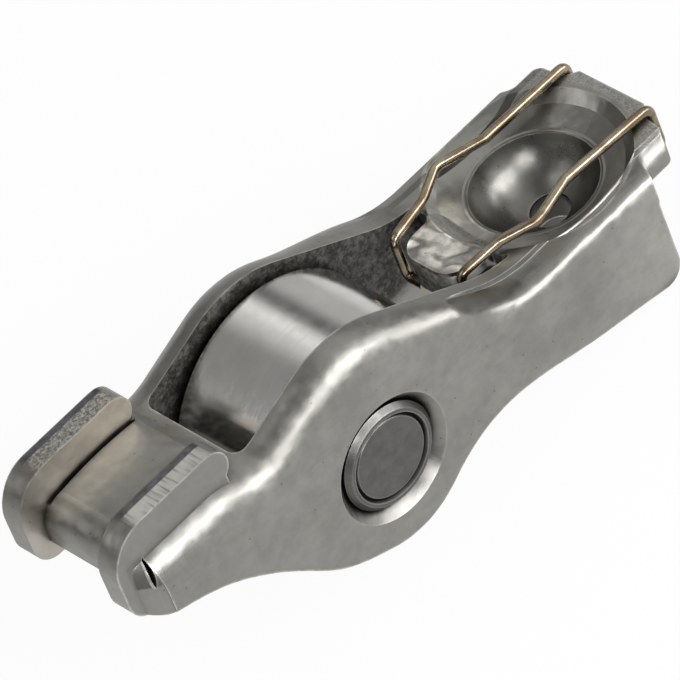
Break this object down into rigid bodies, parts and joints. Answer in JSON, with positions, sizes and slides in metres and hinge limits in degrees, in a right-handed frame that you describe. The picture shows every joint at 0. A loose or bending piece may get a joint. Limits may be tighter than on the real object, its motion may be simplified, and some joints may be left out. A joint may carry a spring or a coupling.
{
  "type": "rocker arm",
  "caption": "Stamped roller finger follower: channel arm with a drawn ball socket, guided valve pad, needle bearing roller and spring wire clip.",
  "frame": {"origin": "centre of the roller's axle, on the arm's middle plane", "axes": "+X towards the ball socket, +Y across the arm along the axle, +Z out of the open side of the socket"},
  "size_m": [0.0486, 0.0138, 0.0189],
  "materials": {
    "stamped_steel": "satin, tumbled",
    "ground_steel": "ground",
    "bearing_steel": "polished",
    "spring_wire": "drawn wire, warm tint"
  },
  "bodies": {
    "arm": {"arm_body": "stamped_steel", "axle_pin": "ground_steel", "wire_clip": "spring_wire"},
    "roller_ring": {"roller": "ground_steel"},
    "needle_set": {"needle_01": "bearing_steel", "needle_02": "bearing_steel", "needle_03": "bearing_steel", "needle_04": "bearing_steel", "needle_05": "bearing_steel", "needle_06": "bearing_steel", "needle_07": "bearing_steel", "needle_08": "bearing_steel", "needle_09": "bearing_steel", "needle_10": "bearing_steel", "needle_11": "bearing_steel", "needle_12": "bearing_steel", "needle_13": "bearing_steel", "needle_14": "bearing_steel", "needle_15": "bearing_steel", "needle_16": "bearing_steel", "needle_17": "bearing_steel", "needle_18": "bearing_steel"}
  },
  "joints": [
    {"name": "roller_spin", "type": "hinge", "parent": "arm", "child": "roller_ring", "pos_m": [0, 0, 0], "axis": [0, 1, 0], "continuous": true},
    {"name": "needle_orbit", "type": "hinge", "parent": "arm", "child": "needle_set", "pos_m": [0, 0, 0], "axis": [0, 1, 0], "continuous": true}
  ],
  "couplings": [
    {"joint": "needle_orbit", "follows": "roller_spin", "ratio": 0.586}
  ]
}
